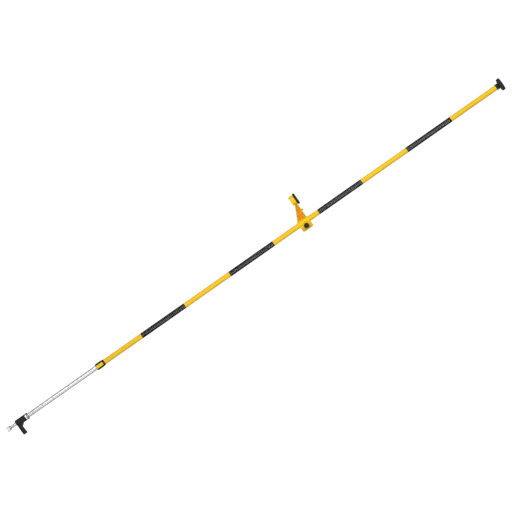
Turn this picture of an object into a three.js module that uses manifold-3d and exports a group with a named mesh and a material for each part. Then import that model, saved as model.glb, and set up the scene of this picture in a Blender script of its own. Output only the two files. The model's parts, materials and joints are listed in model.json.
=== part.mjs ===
// Telescoping levelling pole: a graduated yellow and black mast on a sprung foot, with a clamp-on
// bracket that carries a laser platform. Millimetres, +Z up the pole, origin under the foot.
// The bracket's arm points to -X, the foot's release lever to +X, the knob and flip lever to -Y.
import * as THREE from 'three';
import { mergeVertices } from 'three/addons/utils/BufferGeometryUtils.js';
import Module from 'manifold-3d';

const wasm = await Module();
wasm.setup();

// ---- driving dimensions -------------------------------------------------------------------
const GAP = 0.3;
const ROUND = 28; // sides of everything that turns about the pole's axis
const SMALL_ROUND = 16;

const FOOT = { capR: 15.5, capTop: 17, flangeR: 12.6, flangeTop: 22, rodR: 8.6, rodTop: 124, boreR: 8.95 };
const HOUSING = { r: 18.6, bottom: 59, top: 123, cavityR: 14.5, floor: 64, shelf: 104, seat: 106.5 };
const PIVOT = { x: 21.4, z: 91, pinR: 1.6, holeR: 1.8, hubR: 3.6 };
const RELEASE = { halfWidth: 11, end: 76, noseHalf: 6, cheekIn: 11.4, cheekOut: 14.6, hug: 19.25 };
const PLATE = { z: 82, r: 13, holeR: 9.15, thick: 3, tilt: THREE.MathUtils.degToRad(8) };
const STOP = { bottom: 118.4, top: 123.7, r: 10.6 };
const SPRING = { bottom: 126, top: 214, meanR: 8.6, wireR: 1.1, turns: 7 };

const INNER = { r: 13, boreR: 11.5, bottom: 107, top: 1007 };
const OUTER = { r: 15, boreR: 13.5, bottom: 615.5, top: 3320 };
const JOINTS = [1512, 2408]; // where one mast section screws onto the next
const SPIGOT = { r: 13.2, boreR: 11, half: 60 };
const BANDS = [[913, 1207], [1512, 1809], [2114, 2408], [2715, 3013]]; // black graduated stretches
const BAND_SKIN = { inner: 15.1, outer: 15.4 };

const COLLAR = { r: 19.2, bottom: 605.5, top: 650.5, boreR: 15.3, ringTop: 660.5, ringR: 17.6 };
const FLIP = { half: 9.2, low: 607, pivotY: -17.6, pivotZ: 646.5, hubR: 2.2, innerY: -15.9, outerY: -20.2 };
const CAM = { offset: 0.8, half: 5 };
const FLIP_PIN = { r: 1.1, holeR: 1.3, half: 13.2 };
const CHEEK = { half: 13.4, face: -19.6 };
const SHOE = { half: 5.2, low: 640.5, high: 650.5, innerR: 13.15, faceY: -14.3 };

const CLAMP = { bottom: 1981, top: 2050, r: 19.5, boreR: 17.6, slit: 1.2 };
const LINER = { r: 17.2, boreR: 15.8, bottom: 1979.5, top: 2051.5 };
const EAR = { left: 12, right: 47, bottom: 1982.5, top: 2050, half: 12 };
const WAIST = { depth: 2.4, narrow: 4, wide: 12 }; // the notch between the ears' two lobes
const KNOB = { x: 23.4, z: 2016.5, r: 14.8, back: -21, front: -37, bossR: 16, bossFace: -20 };
const STUD = { r: 3, holeR: 3.4 };
const ARM = {
  root: -17, tip: -112, half: 9, web: 2.6, rim: 4.2, rib: 3.4, top: 2045.8, lowRoot: 1982.5, lowTip: 2030.5,
};
const RIBS = [-20, -38, -55, -71, -85, -99]; // where the arm's zigzag meets its rims
const PLATFORM = { x: -134.5, r: 28, bottom: 2020, top: 2046.3, floor: 2039.3, cavityR: 22, holeR: 8.4 };
const DISC = { x: -132.5, r: 33.5, bottom: 2047.8, top: 2060.8, bossR: 8, bossLow: 2036.3, boreR: 3.6 };
const SCREW = { r: 3.175, headR: 10, bottom: 2023.3, headTop: 2029.8, tip: 2059.3 };
const VIAL = { x: -64, r: 6, height: 5.6 };

const NECK = { r: 17, bottom: 3320.3, shoulder: 3336.9, top: 3338.1, spigotLow: 3290, socketR: 9, ballZ: 3335 };
const CUP = { outer: 8.5, inner: 7.5, height: 2.8, lowAngle: -1.2 };
const BALL = { r: 7, stemR: 4 };
const GRUB = { r: 2, holeR: 2.3, low: 11.2, high: 14.8, below: 37, neckZ: 3306 };
const PAD = { r: 37, bottom: 3340.7, plateTop: 3349, top: 3362, plateR: 31 };

// ---- looks --------------------------------------------------------------------------------
const look = (color, roughness, metalness) => ({ color, roughness, metalness });
const YELLOW = look('#f0c222', 0.38, 0.0);
const BLACK = look('#202124', 0.5, 0.0);
const RUBBER = look('#2c2d2f', 0.85, 0.0);
const DARK_METAL = look('#77797c', 0.3, 1.0);
const SILVER = look('#c9cccf', 0.3, 0.9);
const STEEL = look('#b9bcc0', 0.25, 1.0);
const NYLON = look('#dcdcd4', 0.55, 0.0);
const WHITE = look('#e8e9ea', 0.35, 0.1);
const GREEN = look('#8fbf3a', 0.1, 0.0);

const pole = new THREE.Group();

function piece(name, geometry, finish) {
  const mesh = new THREE.Mesh(geometry, new THREE.MeshStandardMaterial(finish));
  mesh.name = name;
  pole.add(mesh);
}

// ---- solids -------------------------------------------------------------------------------
// Profiles are lists of [radius, height], anticlockwise, on the axis at both ends or closed.
function turned(profile, sides = ROUND) {
  const points = profile.map(([r, z]) => new THREE.Vector2(r, z));
  return new THREE.LatheGeometry(points, sides).rotateX(Math.PI / 2);
}

function ringProfile(innerR, outerR, low, high) {
  return [[innerR, low], [outerR, low], [outerR, high], [innerR, high], [innerR, low]];
}

function tube(innerR, outerR, low, high, sides = ROUND) {
  return turned(ringProfile(innerR, outerR, low, high), sides);
}

function rod(r, low, high, sides = SMALL_ROUND) {
  return turned([[0, low], [r, low], [r, high], [0, high]], sides);
}

function softRod(r, low, high, edge, sides = ROUND) {
  const profile = [[0, low], [r - edge, low], [r - edge * 0.3, low + edge * 0.3], [r, low + edge]];
  profile.push([r, high - edge], [r - edge * 0.3, high - edge * 0.3], [r - edge, high], [0, high]);
  return turned(profile, sides);
}

// An outline whose corners [a, b, radius] are rounded off.
function outline(corners) {
  const shape = new THREE.Shape();
  const count = corners.length;
  corners.forEach(([a, b, radius = 0], i) => {
    const here = new THREE.Vector2(a, b);
    const before = new THREE.Vector2(...corners[(i + count - 1) % count].slice(0, 2));
    const after = new THREE.Vector2(...corners[(i + 1) % count].slice(0, 2));
    const start = before.sub(here).setLength(radius).add(here);
    const end = after.sub(here).setLength(radius).add(here);
    if (i === 0) shape.moveTo(start.x, start.y);
    else shape.lineTo(start.x, start.y);
    if (radius > 0) shape.quadraticCurveTo(here.x, here.y, end.x, end.y);
  });
  shape.closePath();
  return shape;
}

const extruded = (shape, depth) => new THREE.ExtrudeGeometry(shape, {
  depth,
  bevelEnabled: false,
  curveSegments: 3,
});

// An outline in X and Z, thickened along Y.
function alongY(corners, low, high) {
  const axes = new THREE.Matrix4().makeBasis(
    new THREE.Vector3(1, 0, 0),
    new THREE.Vector3(0, 0, 1),
    new THREE.Vector3(0, -1, 0),
  );
  return extruded(outline(corners), high - low).applyMatrix4(axes).translate(0, high, 0);
}

// An outline in Y and Z, thickened along X.
function alongX(corners, low, high) {
  const axes = new THREE.Matrix4().makeBasis(
    new THREE.Vector3(0, 1, 0),
    new THREE.Vector3(0, 0, 1),
    new THREE.Vector3(1, 0, 0),
  );
  return extruded(outline(corners), high - low).applyMatrix4(axes).translate(low, 0, 0);
}

function box(x, y, z) {
  const [w, d, h] = [x, y, z].map(([low, high]) => high - low);
  const [cx, cy, cz] = [x, y, z].map(([low, high]) => (low + high) / 2);
  return new THREE.BoxGeometry(w, d, h).translate(cx, cy, cz);
}

const barX = (r, y, z, low, high, sides = 16) => rod(r, low, high, sides)
  .rotateY(Math.PI / 2).translate(0, y, z);
const barY = (r, x, z, low, high, sides = SMALL_ROUND) => rod(r, -high, -low, sides)
  .rotateX(Math.PI / 2).translate(x, 0, z);

class Helix extends THREE.Curve {
  constructor(radius, height, turns) {
    super();
    Object.assign(this, { radius, height, turns });
  }

  getPoint(t, target = new THREE.Vector3()) {
    const angle = t * this.turns * 2 * Math.PI;
    return target.set(this.radius * Math.cos(angle), this.radius * Math.sin(angle), t * this.height);
  }
}

function coil(radius, wireR, height, turns, stepsPerTurn = 10) {
  const section = new THREE.Shape().absarc(0, 0, wireR, 0, 2 * Math.PI);
  return new THREE.ExtrudeGeometry(section, {
    steps: Math.round(turns * stepsPerTurn),
    curveSegments: 3,
    extrudePath: new Helix(radius, height, turns),
  });
}

function solid(geometry) {
  const bare = geometry.clone();
  bare.deleteAttribute('normal');
  bare.deleteAttribute('uv');
  const merged = mergeVertices(bare, 1e-4);
  const corners = [];
  for (let i = 0; i < merged.index.count; i += 3) {
    const [a, b, c] = [0, 1, 2].map((k) => merged.index.getX(i + k));
    if (a !== b && b !== c && c !== a) corners.push(a, b, c);
  }
  return new wasm.Manifold(new wasm.Mesh({
    numProp: 3,
    vertProperties: new Float32Array(merged.attributes.position.array),
    triVerts: new Uint32Array(corners),
  }));
}

function geometryOf(body) {
  const { vertProperties, triVerts } = body.getMesh();
  const geometry = new THREE.BufferGeometry();
  geometry.setAttribute('position', new THREE.BufferAttribute(vertProperties, 3));
  geometry.setIndex(new THREE.BufferAttribute(triVerts, 1));
  geometry.computeVertexNormals();
  return geometry;
}

const join = (...parts) => parts.map(solid).reduce((a, b) => a.add(b));
const cut = (body, ...tools) => tools.reduce((a, tool) => a.subtract(solid(tool)), body);

// ---- foot: the piece that stands on the floor ----------------------------------------------
function makeFoot() {
  const { capR, capTop, flangeR, flangeTop, rodR, rodTop, boreR } = FOOT;
  const blindEnd = 6;
  piece('foot_cap', turned([
    [0, 0], [capR - 3.5, 0], [capR - 1, 1.2], [capR, 4], [capR, capTop - 4], [capR - 1, capTop - 1.2],
    [capR - 3.5, capTop], [boreR, capTop], [boreR, blindEnd], [0, blindEnd],
  ]), WHITE);
  piece('foot_flange', tube(boreR, flangeR, capTop + GAP, flangeTop, SMALL_ROUND), DARK_METAL);
  piece('foot_rod', rod(rodR, blindEnd + GAP, rodTop), STEEL);
  piece('rod_stop_ring', tube(boreR, STOP.r, STOP.bottom, STOP.top, SMALL_ROUND), STEEL);
}

// ---- foot housing with the release lever ----------------------------------------------------
function makeHousing() {
  const { r, bottom, top, cavityR, floor, shelf, seat } = HOUSING;
  const edge = 6;
  const bore = FOOT.boreR + 0.1;
  const shell = turned([
    [bore, bottom], [r - edge, bottom], [r - edge * 0.3, bottom + edge * 0.3], [r, bottom + edge],
    [r, top], [INNER.r + GAP, top], [INNER.r + GAP, seat], [INNER.boreR + 1, seat],
    [INNER.boreR + 1, shelf], [cavityR, shelf], [cavityR, floor], [bore, floor], [bore, bottom],
  ]);
  const cheekShape = [[9.5, 83], [27.4, 83, 2], [30.4, 85.5, 1], [27.4, 91.5, 2], [18.9, 99, 2], [9.5, 99]];
  const { cheekIn, cheekOut, noseHalf } = RELEASE;
  const body = join(
    shell,
    alongY(cheekShape, -cheekOut, -cheekIn),
    alongY(cheekShape, cheekIn, cheekOut),
  );
  const noseWindow = box([8, PIVOT.x], [-noseHalf - 0.6, noseHalf + 0.6], [83.5, 97.5]);
  const pinHole = barY(PIVOT.holeR, PIVOT.x, PIVOT.z, -20, 20, 16);
  piece('foot_housing', geometryOf(cut(body, noseWindow, pinHole)), BLACK);
}

function makeReleaseLever() {
  const { halfWidth, end, noseHalf, hug } = RELEASE;
  const { x, z, pinR, holeR, hubR } = PIVOT;
  const grip = alongY([
    [12, 59.8], [end, 61, 5], [end, 86.3, 5], [31.4, 83.4, 3], [x + hubR, z], [x - hubR, z], [12, 86],
  ], -halfWidth, halfWidth);
  const hub = barY(hubR, x, z, -halfWidth, halfWidth, 16);
  const nose = alongY([
    [10.2, 86], [13.2, 86], [17, 88], [x, 88], [x + 1.5, z + 2], [14, 93], [10.2, 90],
  ], -noseHalf, noseHalf);
  const clearance = rod(hug, 40, 120, ROUND);
  const springPocket = barY(4.6, x, z, -2.2, 2.2, 16);
  const pinHole = barY(holeR, x, z, -20, 20, 16);
  const lever = cut(cut(solid(grip), clearance).add(solid(hub)).add(solid(nose)), springPocket, pinHole);
  piece('release_lever', geometryOf(lever), BLACK);
  piece('release_pin', barY(pinR, x, z, -14.4, 14.4, 16), STEEL);
  const springLength = 3.4;
  const spring = coil(3.3, 0.5, springLength - 1, 2);
  piece('release_spring', spring.rotateX(-Math.PI / 2).translate(x, (1 - springLength) / 2, z), STEEL);
}

function makeLockPlate() {
  const { z, r, holeR, thick, tilt } = PLATE;
  const plate = tube(holeR, r, -thick / 2, thick / 2, SMALL_ROUND);
  piece('lock_plate', plate.rotateY(-tilt).translate(0, 0, z), STEEL);
  const low = HOUSING.floor + 1;
  const high = z - 4.6;
  piece('plate_spring', coil(10.8, 0.6, high - low, 3).translate(0, 0, low), STEEL);
}

// ---- sprung inner tube ----------------------------------------------------------------------
function makeInnerTube() {
  const { r, boreR, bottom, top } = INNER;
  piece('inner_tube', tube(boreR, r, bottom, top), SILVER);
  piece('rod_guide_bush', tube(FOOT.boreR, boreR - GAP, bottom, STOP.bottom - 0.4, SMALL_ROUND), NYLON);
  piece('polished_ring', tube(r + GAP, 18.6, HOUSING.top + GAP, 132.3), WHITE);
  piece('lower_lock_ring', tube(r + GAP, 19, 132.6, 142.6), DARK_METAL);
  const { bottom: low, top: high, meanR, wireR, turns } = SPRING;
  piece('foot_spring', coil(meanR, wireR, high - low - 2 * wireR, turns).translate(0, 0, low + wireR), STEEL);
  piece('spring_seat', tube(4, boreR - GAP, high + 0.6, high + 8, SMALL_ROUND), NYLON);
  const plugDepth = 16;
  const headR = OUTER.boreR - GAP;
  piece('slide_bush', turned([
    [7, top - plugDepth], [boreR - GAP, top - plugDepth], [boreR - GAP, top + GAP], [headR, top + GAP],
    [headR, top + 10], [7, top + 10], [7, top - plugDepth],
  ]), NYLON);
}

// ---- mast -----------------------------------------------------------------------------------
const grubHole = (z) => barY(GRUB.holeR, 0, z, 5, OUTER.r + 2, 8);

function makeMast() {
  const { r, boreR, bottom, top } = OUTER;
  const slot = box([-6, 6], [-r - 2, -9], [bottom - 5, SHOE.high + 1.5]);
  const grubs = [...JOINTS.map((z) => z - GRUB.below), GRUB.neckZ];
  const section = (low, high, grub) => cut(solid(tube(boreR, r, low, high)), grubHole(grub));
  piece('mast_lower', geometryOf(cut(section(bottom, JOINTS[0], grubs[0]), slot)), YELLOW);
  piece('mast_middle', geometryOf(section(JOINTS[0] + GAP, JOINTS[1], grubs[1])), YELLOW);
  piece('mast_upper', geometryOf(section(JOINTS[1] + GAP, top, grubs[2])), YELLOW);
  JOINTS.forEach((z, i) => {
    const spigot = tube(SPIGOT.boreR, SPIGOT.r, z - SPIGOT.half, z + SPIGOT.half);
    piece(`mast_coupler_${i + 1}`, geometryOf(cut(solid(spigot), grubHole(grubs[i]))), SILVER);
  });
  grubs.forEach((z, i) => {
    piece(`grub_screw_${i + 1}`, barY(GRUB.r, 0, z, GRUB.low, GRUB.high, 8), STEEL);
  });
  BANDS.forEach(([low, high], i) => {
    piece(`scale_band_${i + 1}`, tube(BAND_SKIN.inner, BAND_SKIN.outer, low, high), BLACK);
  });
}

// ---- telescope lock -------------------------------------------------------------------------
function makeLockCollar() {
  const { r, bottom, top, boreR, ringTop, ringR } = COLLAR;
  const lip = INNER.r + 0.7;
  const lipTop = bottom + 3;
  const sleeve = turned([
    [lip, bottom], [r - 1.2, bottom], [r, bottom + 1.2], [r, top], [boreR, top],
    [boreR, lipTop], [lip, lipTop], [lip, bottom],
  ]);
  const cheeks = box([-CHEEK.half, CHEEK.half], [CHEEK.face, -12], [bottom, top]);
  const bore = rod(boreR, lipTop, top + 1, ROUND);
  const lipBore = rod(lip, bottom - 1, lipTop + 1, ROUND);
  const leverRoom = box([-FLIP.half - 0.4, FLIP.half + 0.4], [-25, -14.6], [bottom - 1, top + 1]);
  const shoeRoom = box([-6, 6], [-17, -11], [SHOE.low - 2, top + 1]);
  const pinHole = barX(FLIP_PIN.holeR, FLIP.pivotY, FLIP.pivotZ, -20, 20);
  const body = cut(join(sleeve, cheeks), bore, lipBore, leverRoom, shoeRoom, pinHole);
  piece('lock_collar', geometryOf(body), BLACK);
  piece('collar_end_ring', tube(boreR, ringR, top + GAP, ringTop), BLACK);
  piece('collar_bush', tube(INNER.r + 0.35, boreR - GAP, lipTop + GAP, OUTER.bottom - GAP), NYLON);
}

function makeFlipLever() {
  const { half, low, pivotY, pivotZ, hubR, innerY, outerY } = FLIP;
  const paddle = alongX([
    [innerY, low, 0.6], [outerY - 1, low, 1], [outerY, low + 6, 3], [outerY + 0.6, pivotZ - 1, 1],
    [pivotY, pivotZ + 1], [innerY, pivotZ],
  ], -half, half);
  const hub = barX(hubR, pivotY, pivotZ, -half, half);
  const cam = barX(hubR, pivotY + CAM.offset, pivotZ, -CAM.half, CAM.half);
  const pinHole = barX(FLIP_PIN.holeR, pivotY, pivotZ, -20, 20);
  piece('flip_lever', geometryOf(cut(join(paddle, hub, cam), pinHole)), YELLOW);
  piece('flip_pin', barX(FLIP_PIN.r, pivotY, pivotZ, -FLIP_PIN.half, FLIP_PIN.half), STEEL);
  const block = solid(box([-SHOE.half, SHOE.half], [SHOE.faceY, -8], [SHOE.low, SHOE.high]));
  piece('brake_shoe', geometryOf(cut(block, rod(SHOE.innerR, SHOE.low - 1, SHOE.high + 1, ROUND))), NYLON);
}

// ---- bracket --------------------------------------------------------------------------------
function makeClampLiner() {
  const { r, boreR, bottom, top } = LINER;
  const split = box([10, 30], [-1.5, 1.5], [bottom - 1, top + 1]);
  piece('clamp_liner', geometryOf(cut(solid(tube(boreR, r, bottom, top)), split)), YELLOW);
}

const armLow = (x) => ARM.lowRoot + (ARM.lowTip - ARM.lowRoot) * (x - ARM.root) / (ARM.tip - ARM.root);

// The arm is a cast web between two rims, stiffened by a zigzag of ribs.
function armSolids() {
  const { half, web, rim, rib, tip, top } = ARM;
  const strip = (low, high, thick) => alongY([
    [0, low(0)], [0, high(0)], [tip, high(tip)], [tip, low(tip)],
  ], -thick, thick);
  const lower = (rise) => (x) => armLow(x) + rise;
  const upper = (drop) => () => top - drop;
  const ribs = RIBS.slice(1).map((x, i) => {
    const [low, high] = i % 2 ? [RIBS[i], x] : [x, RIBS[i]];
    return alongY([
      [low - rib / 2, armLow(low) + 1], [low + rib / 2, armLow(low) + 1],
      [high + rib / 2, top - 1], [high - rib / 2, top - 1],
    ], 1.6 - half, half - 1.6);
  });
  const webPlate = strip(lower(1), upper(1), web);
  const topRim = strip(upper(rim), upper(0), half);
  const lowRim = strip(lower(0), lower(rim), half);
  return [webPlate, topRim, lowRim, ...ribs];
}

function makeBracket() {
  const sleeve = tube(CLAMP.boreR, CLAMP.r, CLAMP.bottom, CLAMP.top);
  const ears = alongY([
    [EAR.left, EAR.bottom], [EAR.right, EAR.bottom, 8], [EAR.right, EAR.top, 8], [EAR.left, EAR.top],
  ], -EAR.half, EAR.half);
  const waist = alongY([
    [EAR.right - WAIST.depth, KNOB.z - WAIST.narrow], [EAR.right + 4, KNOB.z - WAIST.wide],
    [EAR.right + 4, KNOB.z + WAIST.wide], [EAR.right - WAIST.depth, KNOB.z + WAIST.narrow],
  ], -EAR.half - 1, EAR.half + 1);
  const boss = barY(KNOB.bossR, KNOB.x, KNOB.z, KNOB.bossFace, -KNOB.bossFace - 6);
  const platform = softRod(PLATFORM.r, PLATFORM.bottom, PLATFORM.top, 1.5).translate(PLATFORM.x, 0, 0);
  const vialBoss = rod(VIAL.r + 1, ARM.top - 4, ARM.top + 1).translate(VIAL.x, 0, 0);
  const bore = rod(CLAMP.boreR, CLAMP.bottom - 60, CLAMP.top + 60, ROUND);
  const slit = box([10, 60], [-CLAMP.slit, CLAMP.slit], [CLAMP.bottom - 1, CLAMP.top + 1]);
  const studHole = barY(STUD.holeR, KNOB.x, KNOB.z, -40, 40, 16);
  const nutPocket = barY(6.2, KNOB.x, KNOB.z, 10, 40, 6);
  const hollow = rod(PLATFORM.cavityR, PLATFORM.bottom - 1, PLATFORM.floor, ROUND).translate(DISC.x, 0, 0);
  const pivotHole = rod(PLATFORM.holeR, 2000, 2100).translate(DISC.x, 0, 0);
  const body = join(sleeve, ears, boss, platform, vialBoss, ...armSolids());
  piece('bracket', geometryOf(cut(body, bore, waist, slit, studHole, nutPocket, hollow, pivotHole)), YELLOW);
  const vialBase = ARM.top + 1 + GAP;
  piece('vial', softRod(VIAL.r, vialBase, vialBase + VIAL.height, 1.5, SMALL_ROUND)
    .translate(VIAL.x, 0, 0), GREEN);
}

function makeClampKnob() {
  const { x, z, r, back, front } = KNOB;
  const rim = 3;
  const body = turned([
    [0, -back], [r - 2, -back], [r, -back + 2], [r, -front - rim], [r - rim, -front], [0, -front],
  ]).rotateX(Math.PI / 2).translate(x, 0, z);
  const knob = cut(solid(body), barY(STUD.r + GAP, x, z, front + 6, back + 1, 16));
  piece('clamp_knob', geometryOf(knob), BLACK);
  piece('clamp_stud', barY(STUD.r, x, z, front + 6 + GAP, 17, 16), STEEL);
  const nut = cut(solid(barY(5.8, x, z, 10 + GAP, 14.5, 6)), barY(STUD.r + 0.2, x, z, 0, 30, 16));
  piece('clamp_nut', geometryOf(nut), STEEL);
}

function makeTurntable() {
  const { x, r, bottom, top, bossR, bossLow, boreR } = DISC;
  const disc = turned([
    [boreR, bossLow], [bossR, bossLow], [bossR, bottom], [r - 3, bottom], [r, bottom + 2], [r, top - 2],
    [r - 2, top], [r - 6, top], [r - 7, top - 0.8], [boreR, top - 0.8], [boreR, bossLow],
  ]).translate(x, 0, 0);
  piece('turntable', disc, BLACK);
  piece('turntable_clip', tube(bossR + 0.2, 12, bossLow + 0.4, bossLow + 2.6, SMALL_ROUND).translate(x, 0, 0), STEEL);
  const screw = turned([
    [0, SCREW.bottom], [SCREW.headR, SCREW.bottom], [SCREW.headR, SCREW.headTop],
    [SCREW.r, SCREW.headTop], [SCREW.r, SCREW.tip], [0, SCREW.tip],
  ], SMALL_ROUND).translate(x, 0, 0);
  piece('platform_screw', screw, STEEL);
}

// ---- top end --------------------------------------------------------------------------------
function arc(r, z, from, to, steps = 5) {
  return Array.from({ length: steps + 1 }, (_, i) => {
    const angle = from + (i / steps) * (to - from);
    return [r * Math.cos(angle), z + r * Math.sin(angle)];
  });
}

function makeTop() {
  const { r, bottom, shoulder, top, spigotLow, socketR, ballZ } = NECK;
  const spigotR = OUTER.boreR - GAP;
  const rimAngle = Math.asin((top - ballZ) / socketR);
  const neck = turned([
    [0, spigotLow], [spigotR, spigotLow], [spigotR, bottom], [r, bottom], [r, shoulder],
    [r - 1, top], ...arc(socketR, ballZ, rimAngle, -1.4), [0, ballZ - socketR],
  ]);
  piece('neck', geometryOf(cut(solid(neck), grubHole(GRUB.neckZ))), BLACK);
  const { outer, inner, height, lowAngle } = CUP;
  const cup = [
    ...arc(outer, ballZ, lowAngle, Math.asin(height / outer)),
    ...arc(inner, ballZ, Math.asin(height / inner), lowAngle),
  ];
  piece('ball_cup', turned([...cup, cup[0]]), NYLON);
  const stemTop = PAD.plateTop - 1;
  const ball = arc(BALL.r, ballZ, -1.4, Math.acos(BALL.stemR / BALL.r), 6);
  piece('pad_ball', turned([
    [0, ballZ - BALL.r], ...ball, [BALL.stemR, stemTop], [0, stemTop],
  ], SMALL_ROUND), STEEL);
  const { bottom: low, plateTop, top: face, plateR } = PAD;
  piece('pad_plate', turned([
    [BALL.stemR + GAP, low], [plateR - 6, low], [plateR, low + 2], [plateR, plateTop],
    [0, plateTop], [0, stemTop + GAP], [BALL.stemR + GAP, stemTop + GAP], [BALL.stemR + GAP, low],
  ]), BLACK);
  piece('ceiling_pad', turned([
    [0, plateTop + GAP], [plateR + GAP, plateTop + GAP], [plateR + GAP, low + 2.4], [PAD.r - 2, low + 2.4],
    [PAD.r, low + 4.4], [PAD.r, face - 3], [PAD.r - 3, face], [0, face],
  ]), RUBBER);
}

makeFoot();
makeHousing();
makeReleaseLever();
makeLockPlate();
makeInnerTube();
makeMast();
makeLockCollar();
makeFlipLever();
makeClampLiner();
makeBracket();
makeClampKnob();
makeTurntable();
makeTop();

export default pole;
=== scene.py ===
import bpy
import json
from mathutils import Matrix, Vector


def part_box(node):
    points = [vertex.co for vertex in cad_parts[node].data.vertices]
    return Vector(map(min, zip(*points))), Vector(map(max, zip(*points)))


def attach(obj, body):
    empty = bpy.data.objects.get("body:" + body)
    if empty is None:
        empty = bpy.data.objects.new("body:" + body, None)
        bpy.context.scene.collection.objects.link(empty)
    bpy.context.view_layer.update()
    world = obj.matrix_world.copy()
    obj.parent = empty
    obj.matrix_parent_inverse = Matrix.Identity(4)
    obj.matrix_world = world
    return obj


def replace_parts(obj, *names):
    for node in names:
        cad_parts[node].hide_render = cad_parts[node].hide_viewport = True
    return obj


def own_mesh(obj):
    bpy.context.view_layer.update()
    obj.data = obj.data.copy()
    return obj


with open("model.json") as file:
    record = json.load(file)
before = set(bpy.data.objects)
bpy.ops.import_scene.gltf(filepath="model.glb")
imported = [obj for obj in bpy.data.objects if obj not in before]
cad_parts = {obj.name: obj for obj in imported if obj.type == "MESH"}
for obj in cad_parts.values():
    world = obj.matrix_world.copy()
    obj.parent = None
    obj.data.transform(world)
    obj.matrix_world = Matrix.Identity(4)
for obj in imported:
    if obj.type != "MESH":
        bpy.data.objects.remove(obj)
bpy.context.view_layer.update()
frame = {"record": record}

# A telescoping levelling pole. The CAD gives every place and size; this file makes the fine surfaces.
import json
from math import acos, asin, ceil, cos, floor, pi, radians, sin

import bmesh
import bpy
from mathutils import Matrix, Vector

MM = 0.001
FINE = 96  # sides of a part turned about the pole
SMALL = 48  # sides of small turned parts
GAP = 0.3  # clearance between pieces, mm
TUBE_WALL = 1.5

# the bracket's arm, mm
ARM_ROOT, ARM_TIP = -17.0, -112.0  # x of its two ends
ARM_TOP = 2045.8
ARM_LOW_ROOT, ARM_LOW_TIP = 1982.5, 2030.5  # its lower edge at those ends
ARM_RIM = 4.2  # height of its rims

record = frame["record"]
BODY_OF = {node: body for body, nodes in record["behaviour"]["bodies"].items() for node in nodes}
SLOT_OF = {row["node"]: row["material_slot"] for row in record["subparts"]}


# ---- places, read from the frame ----
def span(node, axis="z"):
    """Lowest and highest place of a node along an axis, in millimetres."""
    low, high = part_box(node)
    return getattr(low, axis) / MM, getattr(high, axis) / MM


def radius(node, axis="x"):
    """Half a node's size along an axis, in millimetres."""
    low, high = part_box(node)
    return (getattr(high, axis) - getattr(low, axis)) / 2 / MM


def centre(node):
    low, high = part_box(node)
    return (low + high) / 2 / MM


# ---- camera, light and floor ----
PICTURE_LEAN = 35.02  # degrees that the pole leans above the picture's horizontal
VIEW_DISTANCE = 17.2  # far enough for the ends of the pole to be seen square on
LENS_MM = 217.3


def make_camera():
    lean = radians(PICTURE_LEAN)
    aim = Vector((0.001, 0.0, 1.689))
    data = bpy.data.cameras.new("camera")
    data.lens = LENS_MM
    data.clip_end = 300.0
    camera = linked("camera", data)
    right = Vector((sin(lean), 0.0, cos(lean)))
    up = Vector((-cos(lean), 0.0, sin(lean)))
    back = Vector((0.0, -1.0, 0.0))
    turn = Matrix((right, up, back)).transposed().to_4x4()
    camera.matrix_world = Matrix.Translation(aim + back * VIEW_DISTANCE) @ turn
    bpy.context.scene.camera = camera


def softbox(name, place, size, power):
    data = bpy.data.lights.new(name, "AREA")
    data.shape = "RECTANGLE"
    data.size, data.size_y = size
    data.energy = power
    lamp = linked(name, data)
    lamp.location = place
    middle = Vector((0.0, 0.0, 1.7))
    lamp.rotation_euler = (middle - Vector(place)).to_track_quat("-Z", "Y").to_euler()
    lamp.visible_camera = False


def make_studio():
    softbox("key", (-1.5, -3.2, 1.9), (0.9, 5.4), 118)
    softbox("fill", (2.2, -2.4, 1.3), (0.7, 4.8), 34)
    softbox("back", (0.8, 3.0, 2.4), (1.6, 4.2), 10)
    world = bpy.data.worlds.new("studio")
    world.use_nodes = True
    sky = world.node_tree.nodes["Background"]
    sky.inputs["Color"].default_value = (1.0, 1.0, 1.0, 1.0)
    sky.inputs["Strength"].default_value = 0.34
    bpy.context.scene.world = world


def make_floor():
    """One white sweep: a floor that rises far away into a wall all round."""
    reach, wall, drop = 45000.0, 60000.0, -0.5
    bend = wall - reach
    curve = [(reach + bend * sin(a), drop + bend * (1 - cos(a))) for a in map(radians, range(90, 0, -15))]
    sweep = turned("floor", [(wall, wall), *curve, (reach, drop), (0, drop)], sides=SMALL)
    material, *_ = new_material("floor_white", (0.9, 0.9, 0.9), 0.9, Specular_IOR_Level=0.0,
                                Emission_Color=(1.0, 1.0, 1.0, 1.0), Emission_Strength=0.8)
    sweep.data.materials.append(material)
    sweep.visible_diffuse = False
    sweep.visible_glossy = False


# ---- materials ----
def new_material(name, colour, roughness, metallic=0.0, **sockets):
    material = bpy.data.materials.new(name)
    material.use_nodes = True
    nodes, links = material.node_tree.nodes, material.node_tree.links
    shader = nodes["Principled BSDF"]
    shader.inputs["Base Color"].default_value = (*colour, 1.0)
    shader.inputs["Roughness"].default_value = roughness
    shader.inputs["Metallic"].default_value = metallic
    for socket, value in sockets.items():
        shader.inputs[socket.replace("_", " ")].default_value = value
    material.diffuse_color = (*colour, 1.0)
    return material, nodes, links, shader


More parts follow.
